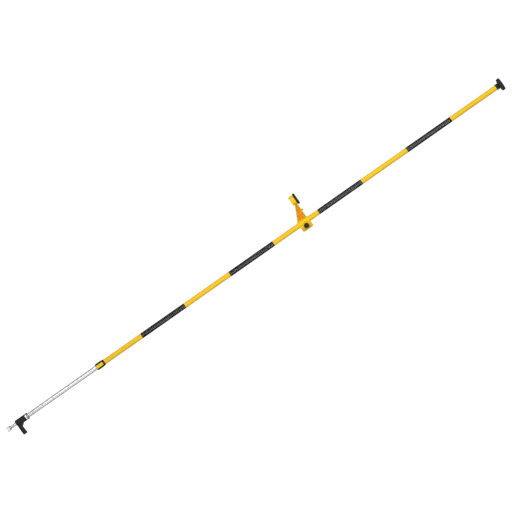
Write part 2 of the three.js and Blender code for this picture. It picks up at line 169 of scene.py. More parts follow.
class Maker:
    """Adds the procedural layers of one material."""

    def __init__(self, name, colour, roughness, metallic=0.0, **sockets):
        made = new_material(name, colour, roughness, metallic, **sockets)
        self.material, self.nodes, self.links, self.shader = made
        self.place = self.nodes.new("ShaderNodeTexCoord").outputs["Object"]

    def noise(self, scale, detail=3.0, stretch=(1.0, 1.0, 1.0)):
        mapping = self.nodes.new("ShaderNodeMapping")
        mapping.inputs["Scale"].default_value = stretch
        self.links.new(self.place, mapping.inputs["Vector"])
        noise = self.nodes.new("ShaderNodeTexNoise")
        noise.inputs["Scale"].default_value = scale
        noise.inputs["Detail"].default_value = detail
        noise.inputs["Roughness"].default_value = 0.55
        self.links.new(mapping.outputs[0], noise.inputs["Vector"])
        return noise.outputs[0]

    def ramp(self, value, stops):
        ramp = self.nodes.new("ShaderNodeValToRGB")
        elements = ramp.color_ramp.elements
        while len(elements) < len(stops):
            elements.new(0.5)
        for element, (position, colour) in zip(elements, stops):
            element.position = position
            shade = colour if hasattr(colour, "__len__") else (colour,) * 3
            element.color = (*shade, 1.0)
        self.links.new(value, ramp.inputs[0])
        return ramp.outputs[0]

    def math(self, operation, a, b=None, c=None):
        node = self.nodes.new("ShaderNodeMath")
        node.operation = operation
        for socket, value in zip(node.inputs, (a, b, c)):
            if value is None:
                continue
            if isinstance(value, (int, float)):
                socket.default_value = value
            else:
                self.links.new(value, socket)
        return node.outputs[0]

    def axis(self, letter):
        split = self.nodes.new("ShaderNodeSeparateXYZ")
        self.links.new(self.place, split.inputs[0])
        return split.outputs[letter]

    def mix(self, factor, first, second):
        node = self.nodes.new("ShaderNodeMix")
        node.data_type = "RGBA"
        for socket, value in ((node.inputs[0], factor), (node.inputs[6], first), (node.inputs[7], second)):
            if isinstance(value, (int, float)):
                socket.default_value = value
            elif isinstance(value, tuple):
                socket.default_value = (*value, 1.0)
            else:
                self.links.new(value, socket)
        return node.outputs[2]

    def edges(self, low, high, amount):
        """Where the mesh bulges outwards, from nothing to amount."""
        bulge = self.nodes.new("ShaderNodeNewGeometry").outputs["Pointiness"]
        return self.ramp(bulge, [(low, 0.0), (high, amount)])

    def colour(self, output):
        self.links.new(output, self.shader.inputs["Base Color"])

    def roughness(self, output, low, high):
        spread = self.nodes.new("ShaderNodeMapRange")
        spread.inputs["To Min"].default_value = low
        spread.inputs["To Max"].default_value = high
        self.links.new(output, spread.inputs["Value"])
        self.links.new(spread.outputs[0], self.shader.inputs["Roughness"])

    def bump(self, height, depth_mm, strength=1.0):
        bump = self.nodes.new("ShaderNodeBump")
        bump.inputs["Strength"].default_value = strength
        bump.inputs["Distance"].default_value = depth_mm * MM
        self.links.new(height, bump.inputs["Height"])
        self.links.new(bump.outputs[0], self.shader.inputs["Normal"])


def tinted(colour, factor):
    return tuple(min(1.0, c * factor) for c in colour)


def yellow_coat():
    base = (0.90, 0.555, 0.008)
    m = Maker("yellow_coat", base, 0.40, Specular_IOR_Level=0.22)
    cloud = m.noise(9.0, 4.0)
    streaks = m.noise(60.0, 3.0, (1.0, 1.0, 0.03))
    blotches = m.ramp(cloud, [(0.3, tinted(base, 0.95)), (0.7, tinted(base, 1.05))])
    scuffs = m.ramp(streaks, [(0.66, 0.0), (0.78, 0.35)])
    m.colour(m.mix(scuffs, blotches, (0.88, 0.62, 0.12)))
    m.roughness(streaks, 0.3, 0.44)
    m.bump(m.noise(900.0, 2.0), 0.05, 0.35)
    return m.material


def yellow_plastic():
    base = (0.94, 0.61, 0.002)
    m = Maker("yellow_plastic", base, 0.42, Specular_IOR_Level=0.22)
    slope = (ARM_LOW_ROOT - ARM_LOW_TIP) / (ARM_ROOT - ARM_TIP)
    low_line = (ARM_LOW_ROOT - slope * ARM_ROOT + ARM_RIM) * MM
    # painted shade: the arm's recess, across its web and between its rims and ribs, is coloured a darker
    # amber
    recess_shade = m.ramp(m.math("MULTIPLY", m.math("ABSOLUTE", m.axis("Y")), 100.0), [(0.25, 1.0), (0.75, 0.5)])
    root, tip = -0.0195, -0.1066  # x of the recess's ends, metres
    for limit in (
        m.math("LESS_THAN", m.axis("X"), root),
        m.math("GREATER_THAN", m.axis("X"), tip),
        m.math("LESS_THAN", m.axis("Z"), (ARM_TOP - ARM_RIM) * MM),
        m.math("GREATER_THAN", m.math("MULTIPLY_ADD", m.axis("X"), -slope, m.axis("Z")), low_line),
    ):
        recess_shade = m.math("MULTIPLY", recess_shade, limit)
    cloud = m.ramp(m.noise(45.0, 4.0), [(0.3, tinted(base, 0.93)), (0.7, tinted(base, 1.04))])
    # painted shade: the clamp's ears, beyond about x = 19 mm, are tinted a darker orange
    ears = m.ramp(m.math("MULTIPLY", m.axis("X"), 10.0), [(0.19, 0.0), (0.23, 0.75)])
    cloud = m.mix(ears, cloud, (0.72, 0.37, 0.004))
    worn = m.mix(m.edges(0.53, 0.60, 0.4), cloud, (1.0, 0.78, 0.12))
    # the darker amber laid in the recess is painted shade
    recess_shade_colour = m.ramp(m.noise(70.0, 4.0), [(0.32, (0.60, 0.185, 0.002)), (0.64, (0.80, 0.32, 0.003))])
    m.colour(m.mix(recess_shade, worn, recess_shade_colour))
    m.roughness(m.noise(160.0, 3.0), 0.34, 0.48)
    m.bump(m.noise(1500.0, 2.0), 0.04, 0.4)
    return m.material


def black_coat(name, base, roughness, grain_scale, grain_mm, specular=0.3, middle=None):
    """Black plastic or paint. middle is a place and a radius, in metres, inside which a bluish painted
    highlight is laid on the colour.
    """
    m = Maker(name, base, roughness, Specular_IOR_Level=specular)
    cloud = m.ramp(m.noise(30.0, 5.0), [(0.3, tinted(base, 0.8)), (0.75, tinted(base, 1.35))])
    dusty = m.ramp(m.noise(260.0, 5.0), [(0.56, 0.0), (0.72, 0.25)])
    tone = m.mix(dusty, cloud, tinted(base, 2.1))
    if middle:
        x, z, reach = middle
        across = m.math("POWER", m.math("SUBTRACT", m.axis("X"), x), 2.0)
        upward = m.math("POWER", m.math("SUBTRACT", m.axis("Z"), z), 2.0)
        inside = m.math("LESS_THAN", m.math("ADD", across, upward), reach * reach)
        # painted highlight: a bluish spot inside the given radius
        tone = m.mix(inside, tone, (0.016, 0.032, 0.048))
    m.colour(m.mix(m.edges(0.53, 0.62, 0.5), tone, tinted(base, 4.0)))
    m.roughness(m.noise(120.0, 3.0), roughness - 0.07, roughness + 0.08)
    m.bump(m.noise(grain_scale, 2.0), grain_mm, 0.6)
    return m.material


def drawn_metal(name, base, roughness, stretch, scale=400.0):
    m = Maker(name, base, roughness, 1.0)
    lines = m.noise(scale, 3.0, stretch)
    cloud = m.noise(12.0, 3.0)
    shade = m.ramp(lines, [(0.3, tinted(base, 0.9)), (0.7, tinted(base, 1.06))])
    m.colour(m.mix(m.ramp(cloud, [(0.35, 0.0), (0.75, 0.18)]), shade, tinted(base, 0.82)))
    m.roughness(lines, roughness - 0.07, roughness + 0.1)
    m.bump(lines, 0.02, 0.35)
    return m.material


def smooth_plastic(name, base, roughness, scatter=0.0):
    m = Maker(name, base, roughness, Subsurface_Weight=scatter, Subsurface_Scale=0.004)
    cloud = m.noise(60.0, 4.0)
    m.colour(m.ramp(cloud, [(0.3, tinted(base, 0.94)), (0.7, tinted(base, 1.03))]))
    m.roughness(m.noise(200.0, 2.0), roughness - 0.05, roughness + 0.06)
    m.bump(m.noise(700.0, 2.0), 0.02, 0.3)
    return m.material


def vial_fluid():
    base = (0.125, 0.19, 0.017)
    m = Maker("vial_acrylic", base, 0.08, Coat_Weight=1.0, Coat_Roughness=0.03)
    m.colour(m.ramp(m.noise(140.0, 2.0), [(0.3, tinted(base, 0.85)), (0.7, tinted(base, 1.2))]))
    return m.material


def scale_ink():
    base = (0.30, 0.30, 0.29)
    m = Maker("scale_ink", base, 0.55)
    worn = m.ramp(m.noise(500.0, 4.0), [(0.25, tinted(base, 0.6)), (0.5, base)])
    m.colour(worn)
    m.bump(m.noise(900.0, 2.0), 0.02, 0.3)
    return m.material


def make_materials():
    knob = centre("clamp_knob")
    return {
        "yellow_coat": yellow_coat(),
        "yellow_plastic": yellow_plastic(),
        "black_scale": black_coat("black_scale", (0.006, 0.006, 0.0065), 0.50, 900.0, 0.05, 0.07),
        "black_plastic": black_coat("black_plastic", (0.024, 0.024, 0.025), 0.48, 1300.0, 0.10, 0.12),
        # the knob's face carries a painted bluish highlight round its centre
        "knob_plastic": black_coat("knob_plastic", (0.012, 0.012, 0.013), 0.42, 1300.0, 0.08, 0.13,
                                   (knob.x * MM, knob.z * MM, 0.0065)),
        "pad_rubber": black_coat("pad_rubber", (0.026, 0.026, 0.027), 0.74, 1200.0, 0.10, 0.12),
        "anodised_tube": drawn_metal("anodised_tube", (0.79, 0.80, 0.81), 0.42, (1.0, 1.0, 0.015)),
        "steel": drawn_metal("steel", (0.58, 0.59, 0.60), 0.30, (0.04, 0.04, 1.0), 900.0),
        "spring_steel": drawn_metal("spring_steel", (0.42, 0.42, 0.43), 0.36, (1.0, 1.0, 1.0)),
        "dark_metal": drawn_metal("dark_metal", (0.29, 0.29, 0.30), 0.34, (0.05, 0.05, 1.0), 700.0),
        "polished": drawn_metal("polished", (0.93, 0.93, 0.94), 0.27, (0.05, 0.05, 1.0), 600.0),
        "white_cap": smooth_plastic("white_cap", (0.94, 0.94, 0.94), 0.24),
        "nylon": smooth_plastic("nylon", (0.74, 0.73, 0.67), 0.5, 0.2),
        "vial_acrylic": vial_fluid(),
        "scale_ink": scale_ink(),
    }


# ---- mesh making ----
def linked(name, data):
    """A new object in the scene."""
    thing = bpy.data.objects.new(name, data)
    bpy.context.scene.collection.objects.link(thing)
    return thing


def object_from(bm, name):
    mesh = bpy.data.meshes.new(name)
    bm.to_mesh(mesh)
    bm.free()
    return linked(name, mesh)


def shade(thing, angle=32.0):
    """Smooth shading with real edges kept sharp."""
    bm = bmesh.new()
    bm.from_mesh(thing.data)
    limit = radians(angle)
    for face in bm.faces:
        face.smooth = True
    for edge in bm.edges:
        if len(edge.link_faces) == 2:
            edge.smooth = edge.calc_face_angle(0.0) < limit
    bm.to_mesh(thing.data)
    bm.free()


def rides_with(thing, node, material=None):
    """Gives a finished piece the body, slot and material of a CAD node."""
    thing.data.materials.clear()
    thing.data.materials.append(MATERIALS[material or SLOT_OF[node]])
    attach(thing, BODY_OF[node])
    return thing


def stands_for(thing, node, material=None):
    """The same, for a piece that is shown instead of the CAD node."""
    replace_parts(rides_with(thing, node, material), node)
    return thing


def filleted(corners, closed=False, steps=5):
    """Rounds the corners (a, b, radius) of an outline with short curves."""
    points = []
    count = len(corners)
    for i, (a, b, *rest) in enumerate(corners):
        here = Vector((a, b))
        fillet = rest[0] if rest else 0.0
        inner = closed or 0 < i < count - 1
        if not fillet or not inner:
            points.append(here)
            continue
        before = Vector(corners[i - 1][:2]) - here
        after = Vector(corners[(i + 1) % count][:2]) - here
        start = here + before.normalized() * min(fillet, before.length * 0.49)
        end = here + after.normalized() * min(fillet, after.length * 0.49)
        for k in range(steps + 1):
            t = k / steps
            points.append(start * (1 - t) ** 2 + here * 2 * t * (1 - t) + end * t ** 2)
    return points


def turned(name, corners, closed=False, sides=FINE, at=(0, 0, 0), along="Z", wave=None, steps=5):
    """Revolves an outline of (radius, height, fillet) in millimetres. wave(r, z, angle) may change r."""
    points = filleted(corners, closed, steps)
    bm = bmesh.new()
    rings = []
    for r, z in points:
        if r < 1e-6:
            rings.append([bm.verts.new((0, 0, z))])
            continue
        circle = []
        for i in range(sides):
            angle = 2 * pi * i / sides
            radial = wave(r, z, angle) if wave else r
            circle.append(bm.verts.new((radial * cos(angle), radial * sin(angle), z)))
        rings.append(circle)
    pairs = list(zip(rings, rings[1:]))
    if closed:
        pairs.append((rings[-1], rings[0]))
    for low, high in pairs:
        for i in range(sides):
            j = (i + 1) % sides
            corner = [low[i % len(low)], low[j % len(low)], high[j % len(high)], high[i % len(high)]]
            unique = list(dict.fromkeys(corner))
            if len(unique) > 2:
                bm.faces.new(unique)
    turn = {"Z": Matrix.Identity(4), "X": Matrix.Rotation(pi / 2, 4, "Y"),
            "Y": Matrix.Rotation(pi / 2, 4, "X")}[along]
    bmesh.ops.transform(bm, matrix=Matrix.Scale(MM, 4) @ Matrix.Translation(at) @ turn, verts=bm.verts)
    thing = object_from(bm, name)
    shade(thing)
    return thing


def groove(r, depth, low, high, slope, fillet=0.2, bed_fillet=0.2):
    """Outline corners of a groove turned in a cylinder."""
    bed = r - depth
    return [(r, low, fillet), (bed, low + slope, bed_fillet), (bed, high - slope, bed_fillet),
            (r, high, fillet)]


def face_grooves(radii, face, depth, half_mouth, half_bed, fillet):
    """Outline corners of round grooves in an end face, from the rim inwards."""
    corners = ((half_mouth, 0.0), (half_bed, depth), (-half_bed, depth), (-half_mouth, 0.0))
    return [(r + shift, face - drop, fillet) for r in radii for shift, drop in corners]


def arc(r, z, start, end, steps=12):
    angles = [start + (end - start) * i / steps for i in range(steps + 1)]
    return [(r * cos(a), z + r * sin(a)) for a in angles]


def ring(name, inner, outer, low, high, fillet=0.4, bore_fillet=0.3, **more):
    """A ring or tube with rounded edges."""
    levels = [(outer, low + (high - low) * share) for share in (0.25, 0.75)]
    corners = [(inner, low, bore_fillet), (outer, low, fillet), *levels]
    corners += [(outer, high, fillet), (inner, high, bore_fillet)]
    return turned(name, corners, True, **more)


def flutes(count, depth, low, high, fade=1.2, sharp=1.0, from_r=0.0):
    """A wave for turned(): count grooves round the rim between two heights, outside a radius."""
    def wave(r, z, angle):
        inside = min(1.0, max(0.0, (z - low) / fade), max(0.0, (high - z) / fade)) if r > from_r else 0.0
        return r - depth * inside * (0.5 - 0.5 * cos(count * angle)) ** sharp
    return wave


def thread(pitch, depth, low, high):
    """A wave for turned(): one helical groove between two heights."""
    def wave(r, z, angle):
        inside = min(1.0, max(0.0, z - low), max(0.0, high - z))
        turn = (z / pitch - angle / (2 * pi)) % 1.0
        return r - depth * inside * (1.0 - abs(2.0 * turn - 1.0))
    return wave


def threaded_levels(r, low, high, pitch):
    """Outline points close enough together to carry a thread."""
    count = int((high - low) / pitch * 6)  # six to a turn
    return [(r, low + (high - low) * i / count) for i in range(count + 1)]


def prism(name, corners, low, high, along, steps=5, edge=0.0):
    """An outline of (a, b, fillet) thickened along an axis: (x, z) for Y, (y, z) for X, (x, y) for Z.
    edge rounds the rims of its two ends."""
    points = filleted(corners, True, steps)
    place = {
        "X": lambda a, b, t: (t, a, b),
        "Y": lambda a, b, t: (a, t, b),
        "Z": lambda a, b, t: (a, b, t),
    }[along]
    bm = bmesh.new()
    ends = [[bm.verts.new(Vector(place(a, b, t)) * MM) for a, b in points] for t in (low, high)]
    bm.faces.new(ends[0])
    bm.faces.new(list(reversed(ends[1])))
    for i in range(len(points)):
        j = (i + 1) % len(points)
        bm.faces.new((ends[0][i], ends[1][i], ends[1][j], ends[0][j]))
    bmesh.ops.recalc_face_normals(bm, faces=bm.faces)
    if edge:
        rims = [e for e in bm.edges if any(len(f.verts) == len(points) for f in e.link_faces)]
        bmesh.ops.bevel(bm, geom=rims, offset=edge * MM, segments=3, profile=0.5, affect="EDGES",
                        clamp_overlap=True)
    bmesh.ops.triangulate(bm, faces=[f for f in bm.faces if len(f.verts) > 4])
    return object_from(bm, name)


def bar(name, r, low, high, along, at=(0, 0, 0), sides=SMALL, edge=0.0):
    """A round bar along an axis, for cutting or joining."""
    corners = [(0, low), (r, low, edge), (r, high, edge), (0, high)]
    if along == "Y":
        corners = [(0, -high), (r, -high, edge), (r, -low, edge), (0, -low)]
    return turned(name, corners, sides=sides, at=at, along=along)


def grip_cutters(r, out, low, high, degrees, edge=0.0):
    """Upright bars round the pole's axis, for cutting grip grooves."""
    return [bar("grip", r, low, high, "Z", sides=12, edge=edge,
                at=(out * cos(radians(a)), out * sin(radians(a)), 0)) for a in degrees]


def block(name, x, y, z):
    return prism(name, [(x[0], y[0]), (x[1], y[0]), (x[1], y[1]), (x[0], y[1])], z[0], z[1], "Z")


def riveted_pin(name, node, r, half, chamfer, fillet, at, along):
    """A plain pin with softened ends."""
    stands_for(turned(name, [
        (0, -half), (r - chamfer, -half, fillet), (r, chamfer - half, 0.2),
        (r, half - chamfer, 0.2), (r - chamfer, half, fillet), (0, half),
    ], sides=SMALL, at=at, along=along), node)


def mesh_of(thing, remove=False):
    """The mesh that an object's curve, text or modifiers give."""
    graph = bpy.context.evaluated_depsgraph_get()
    mesh = bpy.data.meshes.new_from_object(thing.evaluated_get(graph))
    if remove:
        bpy.data.objects.remove(thing)
    return mesh


def baked(thing):
    """Applies the object's modifiers to its mesh."""
    mesh = mesh_of(thing)
    thing.modifiers.clear()
    thing.data = mesh
    return thing


def combined(target, tools, operation):
    for tool in tools:
        modifier = target.modifiers.new("cut", "BOOLEAN")
        modifier.operation = operation
        modifier.solver = "MANIFOLD"
        modifier.object = tool
        baked(target)
    for tool in tools:
        bpy.data.objects.remove(tool)
    return target


def cut(target, *tools):
    return combined(target, tools, "DIFFERENCE")


def joined(target, *tools):
    return combined(target, tools, "UNION")


def moulded(thing, voxel_mm, relax=6, keep=0.5):
    """Melts a hard CAD-like body into one moulded skin with small soft edges."""
    remesh = thing.modifiers.new("skin", "REMESH")
    remesh.mode = "VOXEL"
    remesh.voxel_size = voxel_mm * MM
    soften = thing.modifiers.new("soften", "SMOOTH")
    soften.factor = 0.5
    soften.iterations = relax
    thin = thing.modifiers.new("thin", "DECIMATE")
    thin.ratio = keep
    baked(thing)
    shade(thing, 50.0)
    return thing


def spring(name, node, turns, wire_mm, mean_mm, at, low, high, along="Z"):
    """A coil of round wire with closed ends, from low to high along its axis."""
    data = bpy.data.curves.new(name, "CURVE")
    data.dimensions = "3D"
    data.bevel_depth = wire_mm * MM
    data.bevel_resolution = 3
    line = data.splines.new("POLY")
    steps = int(turns * 28)
    line.points.add(steps)
    for i in range(steps + 1):
        t = i / steps
        angle = 2 * pi * turns * t
        eased = min(1.0, max(0.0, (t - 0.5 / turns) / (1 - 1.0 / turns)))
        reach = low + wire_mm + (high - low - 2 * wire_mm) * (0.9 * eased + 0.1 * t)
        x, y = mean_mm * cos(angle), mean_mm * sin(angle)
        point = Vector((x, y, reach)) if along == "Z" else Vector((x, reach, y))
        line.points[i].co = (*((point + Vector(at)) * MM), 1.0)
    data.use_fill_caps = True
    solid = linked(name, mesh_of(linked(name, data), remove=True))
    shade(solid, 60.0)
    return stands_for(solid, node)


# ---- foot ----
def make_foot():
    low, top = span("foot_cap")
    r = radius("foot_cap")
    bore = radius("foot_rod") + 0.35
    rod_low, rod_top = span("foot_rod")
    stands_for(turned("foot_cap_turned", [
        (0, low), (r - 2.6, low, 0.8), (r, low + 3.0, 2.4), *groove(r, 0.5, 6.6, 8.2, 0.4, 0.3),
        (r, top - 3.4, 2.4), (r - 3.0, top, 0.8), (bore, top, 0.4), (bore, rod_low - GAP), (0, rod_low - GAP),
    ]), "foot_cap")
    low, top = span("foot_flange")
    r = radius("foot_flange")
    stands_for(ring("foot_flange_ring", bore, r, low, top, 0.9, sides=24 * 6,
                    wave=flutes(24, 0.45, low + 0.2, top - 0.2, 0.8)), "foot_flange")
    r = radius("foot_rod")
    pitch, thread_low, thread_top = 1.25, rod_low + 0.8, 16.0
    corners = [(0, rod_low), (r - 0.8, rod_low, 0.2), *threaded_levels(r, thread_low, thread_top, pitch)]
    corners += [(r, rod_top - 1.0, 0.4), (r - 1.0, rod_top, 0.2), (0, rod_top)]
    stands_for(turned("foot_rod_turned", corners, sides=SMALL * 2,
                      wave=thread(pitch, 0.5, thread_low, thread_top)), "foot_rod")
    low, top = span("rod_stop_ring")
    r = radius("rod_stop_ring")
    stands_for(turned("rod_stop_collar", [
        (bore, low, 0.3), (r, low, 0.5), *groove(r, 0.8, low + 1.8, top - 1.8, 0.3, 0.2, 0.1),
        (r, top, 0.5), (bore, top, 0.3),
    ], True), "rod_stop_ring")


# ---- foot housing and its release ----
def make_housing():
    low, top = span("foot_housing")
    r = radius("foot_housing", "y")
    tube_r = radius("inner_tube")
    bore = radius("foot_rod") + 0.45
    cavity = 14.5
    seat = span("inner_tube")[0] - 0.5
    pivot = centre("release_pin")
    cheek_in, cheek_out = 11.4, 14.6
    shell = turned("foot_housing_moulding", [
        (bore, low, 0.6), (r - 1.4, low, 5.0), (r, low + 9.0, 5.0), (r, top - 2.6, 0.4),
        (r - 0.7, top - 2.2, 0.3), (r - 0.7, top, 0.6), (tube_r + GAP, top, 0.4), (tube_r + GAP, seat),
        (tube_r - 0.5, seat), (tube_r - 0.5, seat - 2.5), (cavity, seat - 2.5), (cavity, low + 5),
        (bore, low + 5),
    ], True)
    side = [(9.5, 83), (27.4, 83, 2), (30.4, 85.5, 2), (27.4, 91.5, 3), (18.9, 99, 3), (9.5, 99)]
    cheeks = [prism("cheek", side, *ends, "Y") for ends in ((-cheek_out, -cheek_in), (cheek_in, cheek_out))]
    grips = grip_cutters(1.2, r + 0.55, 102.0, 117.0, range(0, 360, 18))
    joined(shell, *cheeks)
    window = block("window", (8, pivot.x), (-6.6, 6.6), (83.5, 97.5))
    pin_hole = bar("hole", 1.8, -20, 20, "Y", at=(pivot.x, 0, pivot.z))
    cut(shell, window, pin_hole, *grips)
    stands_for(moulded(shell, 0.42, 5, 0.45), "foot_housing")


def make_release_lever():
    pivot = centre("release_pin")
    end = span("release_lever", "x")[1]
    half = span("release_lever", "y")[1]
    nose, hub_r, pin_room = 6.0, 3.6, 1.8
    housing_r = span("foot_housing", "y")[1]
    x, z = pivot.x, pivot.z
    grip = prism("release_lever_moulding", [
        (17, 59.8, 1), (end - 20, 60.1, 6), (end, 61, 5), (end, 86.3, 5), (end - 22, 84.6, 8),
        (31.4, 83.4, 4), (x + hub_r, z), (x - hub_r, z), (17, 86),
    ], -half, half, "Y", edge=2.6)
    clearance = bar("clearance", housing_r + 0.65, 40, 120, "Z", sides=FINE)
    cut(grip, clearance)
    hub = bar("hub", hub_r, -half, half, "Y", at=(x, 0, z))
    beak = prism("nose", [
        (10.2, 86), (13.2, 86), (17, 88), (x, 88), (x + 1.5, z + 2), (14, 93), (10.2, 90),
    ], -nose, nose, "Y")
    joined(grip, hub, beak)
    pocket_side = [(31, 64.5, 3), (end - 6, 65.5, 4), (end - 6, 81, 4), (35, 79.5, 4), (31, 77, 3)]
    pockets = [prism("pocket", pocket_side, *ends, "Y")
               for ends in ((-half - 1, 1.3 - half), (half - 1.3, half + 1))]
    spring_room = bar("spring_room", 4.6, -2.2, 2.2, "Y", at=(x, 0, z))
    pin_hole = bar("hole", pin_room, -20, 20, "Y", at=(x, 0, z))
    cut(grip, spring_room, pin_hole, *pockets)
    ridges = [bar("ridge", 1.3, 66.8, 78.0, "Z", at=(40 + 6 * i, side * (half - 1.75), 0), sides=16, edge=0.5)
              for i in range(5) for side in (-1, 1)]
    joined(grip, *ridges)
    stands_for(moulded(grip, 0.42, 5, 0.45), "release_lever")

    riveted_pin("release_pin_riveted", "release_pin", radius("release_pin"), radius("release_pin", "y"),
                0.5, 0.3, (x, 0, z), "Y")
    spring("release_spring_coil", "release_spring", 2, 0.5, 3.3, (x, 0, z), *span("release_spring", "y"), "Y")


def make_lock_plate():
    hole_r, plate_r, plate_half, rest_tilt = 9.15, 13, 1.5, -8.0
    plate = turned("lock_plate_ground", [
        (hole_r, -plate_half, 0.3), (plate_r, -plate_half, 0.5), (plate_r, plate_half, 0.5),
        (hole_r, plate_half, 0.3),
    ], True)
    place = Matrix.Translation((0, 0, centre("lock_plate").z * MM))
    plate.data.transform(place @ Matrix.Rotation(radians(rest_tilt), 4, "Y"))
    stands_for(plate, "lock_plate")
    spring("plate_spring_coil", "plate_spring", 3.5, 0.6, 10.8, (0, 0, 0), *span("plate_spring"))


# ---- sprung inner tube ----
def plug_radius():
    """Radius of the pieces that fit inside the inner tube."""
    return radius("inner_tube") - TUBE_WALL - GAP


def make_inner_tube():
    low, top = span("inner_tube")
    r = radius("inner_tube")
    stands_for(ring("inner_tube_drawn", r - TUBE_WALL, r, low, top, 0.5), "inner_tube")
    bush_low, bush_top = span("rod_guide_bush")
    fit = plug_radius()
    rod_bore = radius("foot_rod") + 0.35
    stands_for(turned("rod_guide_bushing", [
        (rod_bore, bush_low, 0.6), (fit, bush_low, 0.5),
        *groove(fit, 0.8, bush_low + 3, bush_top - 3, 0.4, 0, 0),
        (fit, bush_top, 0.5), (rod_bore, bush_top, 0.6),
    ], True), "rod_guide_bush")
    ring_low, ring_top = span("polished_ring")
    stands_for(ring("polished_ring_turned", r + GAP, radius("polished_ring"), ring_low, ring_top, 2.2),
               "polished_ring")
    ring_low, ring_top = span("lower_lock_ring")
    stands_for(ring("lower_lock_ring_knurled", r + GAP, radius("lower_lock_ring"), ring_low, ring_top, 2.2,
                    sides=36 * 6, wave=flutes(36, 0.6, ring_low + 1, ring_top - 1)), "lower_lock_ring")


def make_foot_spring():
    coil_low, coil_top = span("foot_spring")
    coil = spring("foot_spring_coil", "foot_spring", 9, 1.1, 8.6, (0, 0, 0), coil_low, coil_top)
    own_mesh(coil)
    seat_low, seat_top = span("spring_seat")
    fit = plug_radius()
    stands_for(turned("spring_seat_plug", [
        (4, seat_low, 0.4), (6.6, seat_low, 0.3), (6.6, seat_low + 1.2), (fit, seat_low + 1.2, 0.5),
        (fit, seat_top, 0.6), (4, seat_top, 0.6),
    ], True), "spring_seat")


def make_slide_bush():
    bush_low, bush_top = span("slide_bush")
    top = span("inner_tube")[1]
    head, fit = radius("slide_bush"), plug_radius()
    stands_for(turned("slide_bushing", [
        (7, bush_low, 0.6), (fit, bush_low, 0.8), (fit, top + GAP), (head, top + GAP, 0.5),
        *groove(head, 0.7, top + 3.4, top + 6.2, 0.4), (head, bush_top, 0.9), (7, bush_top, 0.6),
    ], True), "slide_bush")


# ---- mast ----
def grub_hole(z):
    """A cutter for one of the holes that the grub screws sit in."""
    return bar("grub_hole", 2.3, 5, radius("mast_lower") + 2, "Y", at=(0, 0, z), sides=32)


def grub_height(i):
    return centre(f"grub_screw_{i}").z


def make_mast():
    r = radius("mast_lower")
    bore = r - TUBE_WALL
    for i, node in ((1, "mast_lower"), (2, "mast_middle"), (3, "mast_upper")):
        hole = grub_height(i)
        low, top = span(node)
        levels = [hole - 6, hole + 6]
        tools = [grub_hole(hole)]
        if node == "mast_lower":
            slot_top = span("brake_shoe")[1] + 1.5
            levels.insert(0, slot_top + 4)
            tools.append(block("slot", (-6, 6), (-r - 2, -9), (low - 5, slot_top)))
        corners = [(bore, low, 0.3), (r, low, 0.5), *[(r, z) for z in levels]]
        corners += [(r, top, 0.5), (bore, top, 0.3), *[(bore, z) for z in reversed(levels)]]
        stands_for(cut(turned(node + "_section", corners, True), *tools), node)


def make_couplers():
    for i in (1, 2):
        node = f"mast_coupler_{i}"
        low, top = span(node)
        outer = radius(node)
        middle = (low + top) / 2
        sleeve = turned(node + "_sleeve", [
            (outer - 2.2, low, 0.4), (outer, low, 1.0),
            *groove(outer, 0.6, middle - 1.2, middle + 1.2, 0.4, 0.2, 0.1),
            (outer, top, 1.0), (outer - 2.2, top, 0.4),
        ], True)
        stands_for(cut(sleeve, grub_hole(grub_height(i))), node)


def make_grub_screws():
    for i in (1, 2, 3):
        node = f"grub_screw_{i}"
        at = (0, 0, grub_height(i))
        near, far = span(node, "y")
        screw = turned(node + "_socket", [
            (0, -far), (1.6, -far, 0.3), *threaded_levels(2.0, 0.4 - far, -near - 0.6, 0.5),
            (1.3, -near, 0.2), (0, -near),
        ], sides=24, at=at, along="Y", wave=thread(0.5, 0.2, 0.4 - far, -near - 0.6))
        hexagon = turned("socket", [(0, -far - 1), (1.15, -far - 1), (1.15, 1.6 - far), (0, 1.6 - far)],
                         sides=6, at=at, along="Y")
        stands_for(cut(screw, hexagon), node)


# ---- the scale ----
NUMBER_SIZE = 8.6
NUMBER_STEP = 4.5
NUMBER_SHIFT = 1.4  # numbers stand a little to one side, the ticks to the other
TICK_START, LONG_TICK, SHORT_TICK = -11.2, 4.0, 2.2
INK = 0.05  # how far the print stands proud


def glyph(character):
    """A digit as a thin solid, cut into narrow strips so that it can follow the tube."""
    data = bpy.data.curves.new("digit", "FONT")
    data.body = character
    data.size = NUMBER_SIZE
    data.align_x = "CENTER"
    data.align_y = "CENTER"
    data.extrude = INK / 2
    data.offset = 0.12
    data.resolution_u = 6
    bm = bmesh.new()
    bm.from_mesh(mesh_of(linked("digit", data), remove=True))
    bmesh.ops.remove_doubles(bm, verts=bm.verts, dist=0.002)
    for i in range(-3, 4):
        everything = bm.verts[:] + bm.edges[:] + bm.faces[:]
        bmesh.ops.bisect_plane(bm, geom=everything, plane_co=(i, 0, 0), plane_no=(1, 0, 0))
    bmesh.ops.triangulate(bm, faces=[f for f in bm.faces if len(f.verts) > 4])
    bm.verts.index_update()
    points = [vert.co.copy() for vert in bm.verts]
    faces = [[vert.index for vert in face.verts] for face in bm.faces]
    bm.free()
    return points, faces


def tick_strip(left, right, low, high):
    """A thin curved bar between two places round the tube."""
    steps = 4
    places = [left + (right - left) * i / steps for i in range(steps + 1)]
    points = [Vector((a, b, c)) for a in places for b, c in ((low, -INK / 2), (low, INK / 2), (high, INK / 2),
                                                             (high, -INK / 2))]
    faces = [[4 * i + k, 4 * i + 4 + k, 4 * i + 4 + (k + 1) % 4, 4 * i + (k + 1) % 4]
             for i in range(steps) for k in range(4)]
    return points, faces + [[0, 1, 2, 3], [4 * steps + k for k in (3, 2, 1, 0)]]


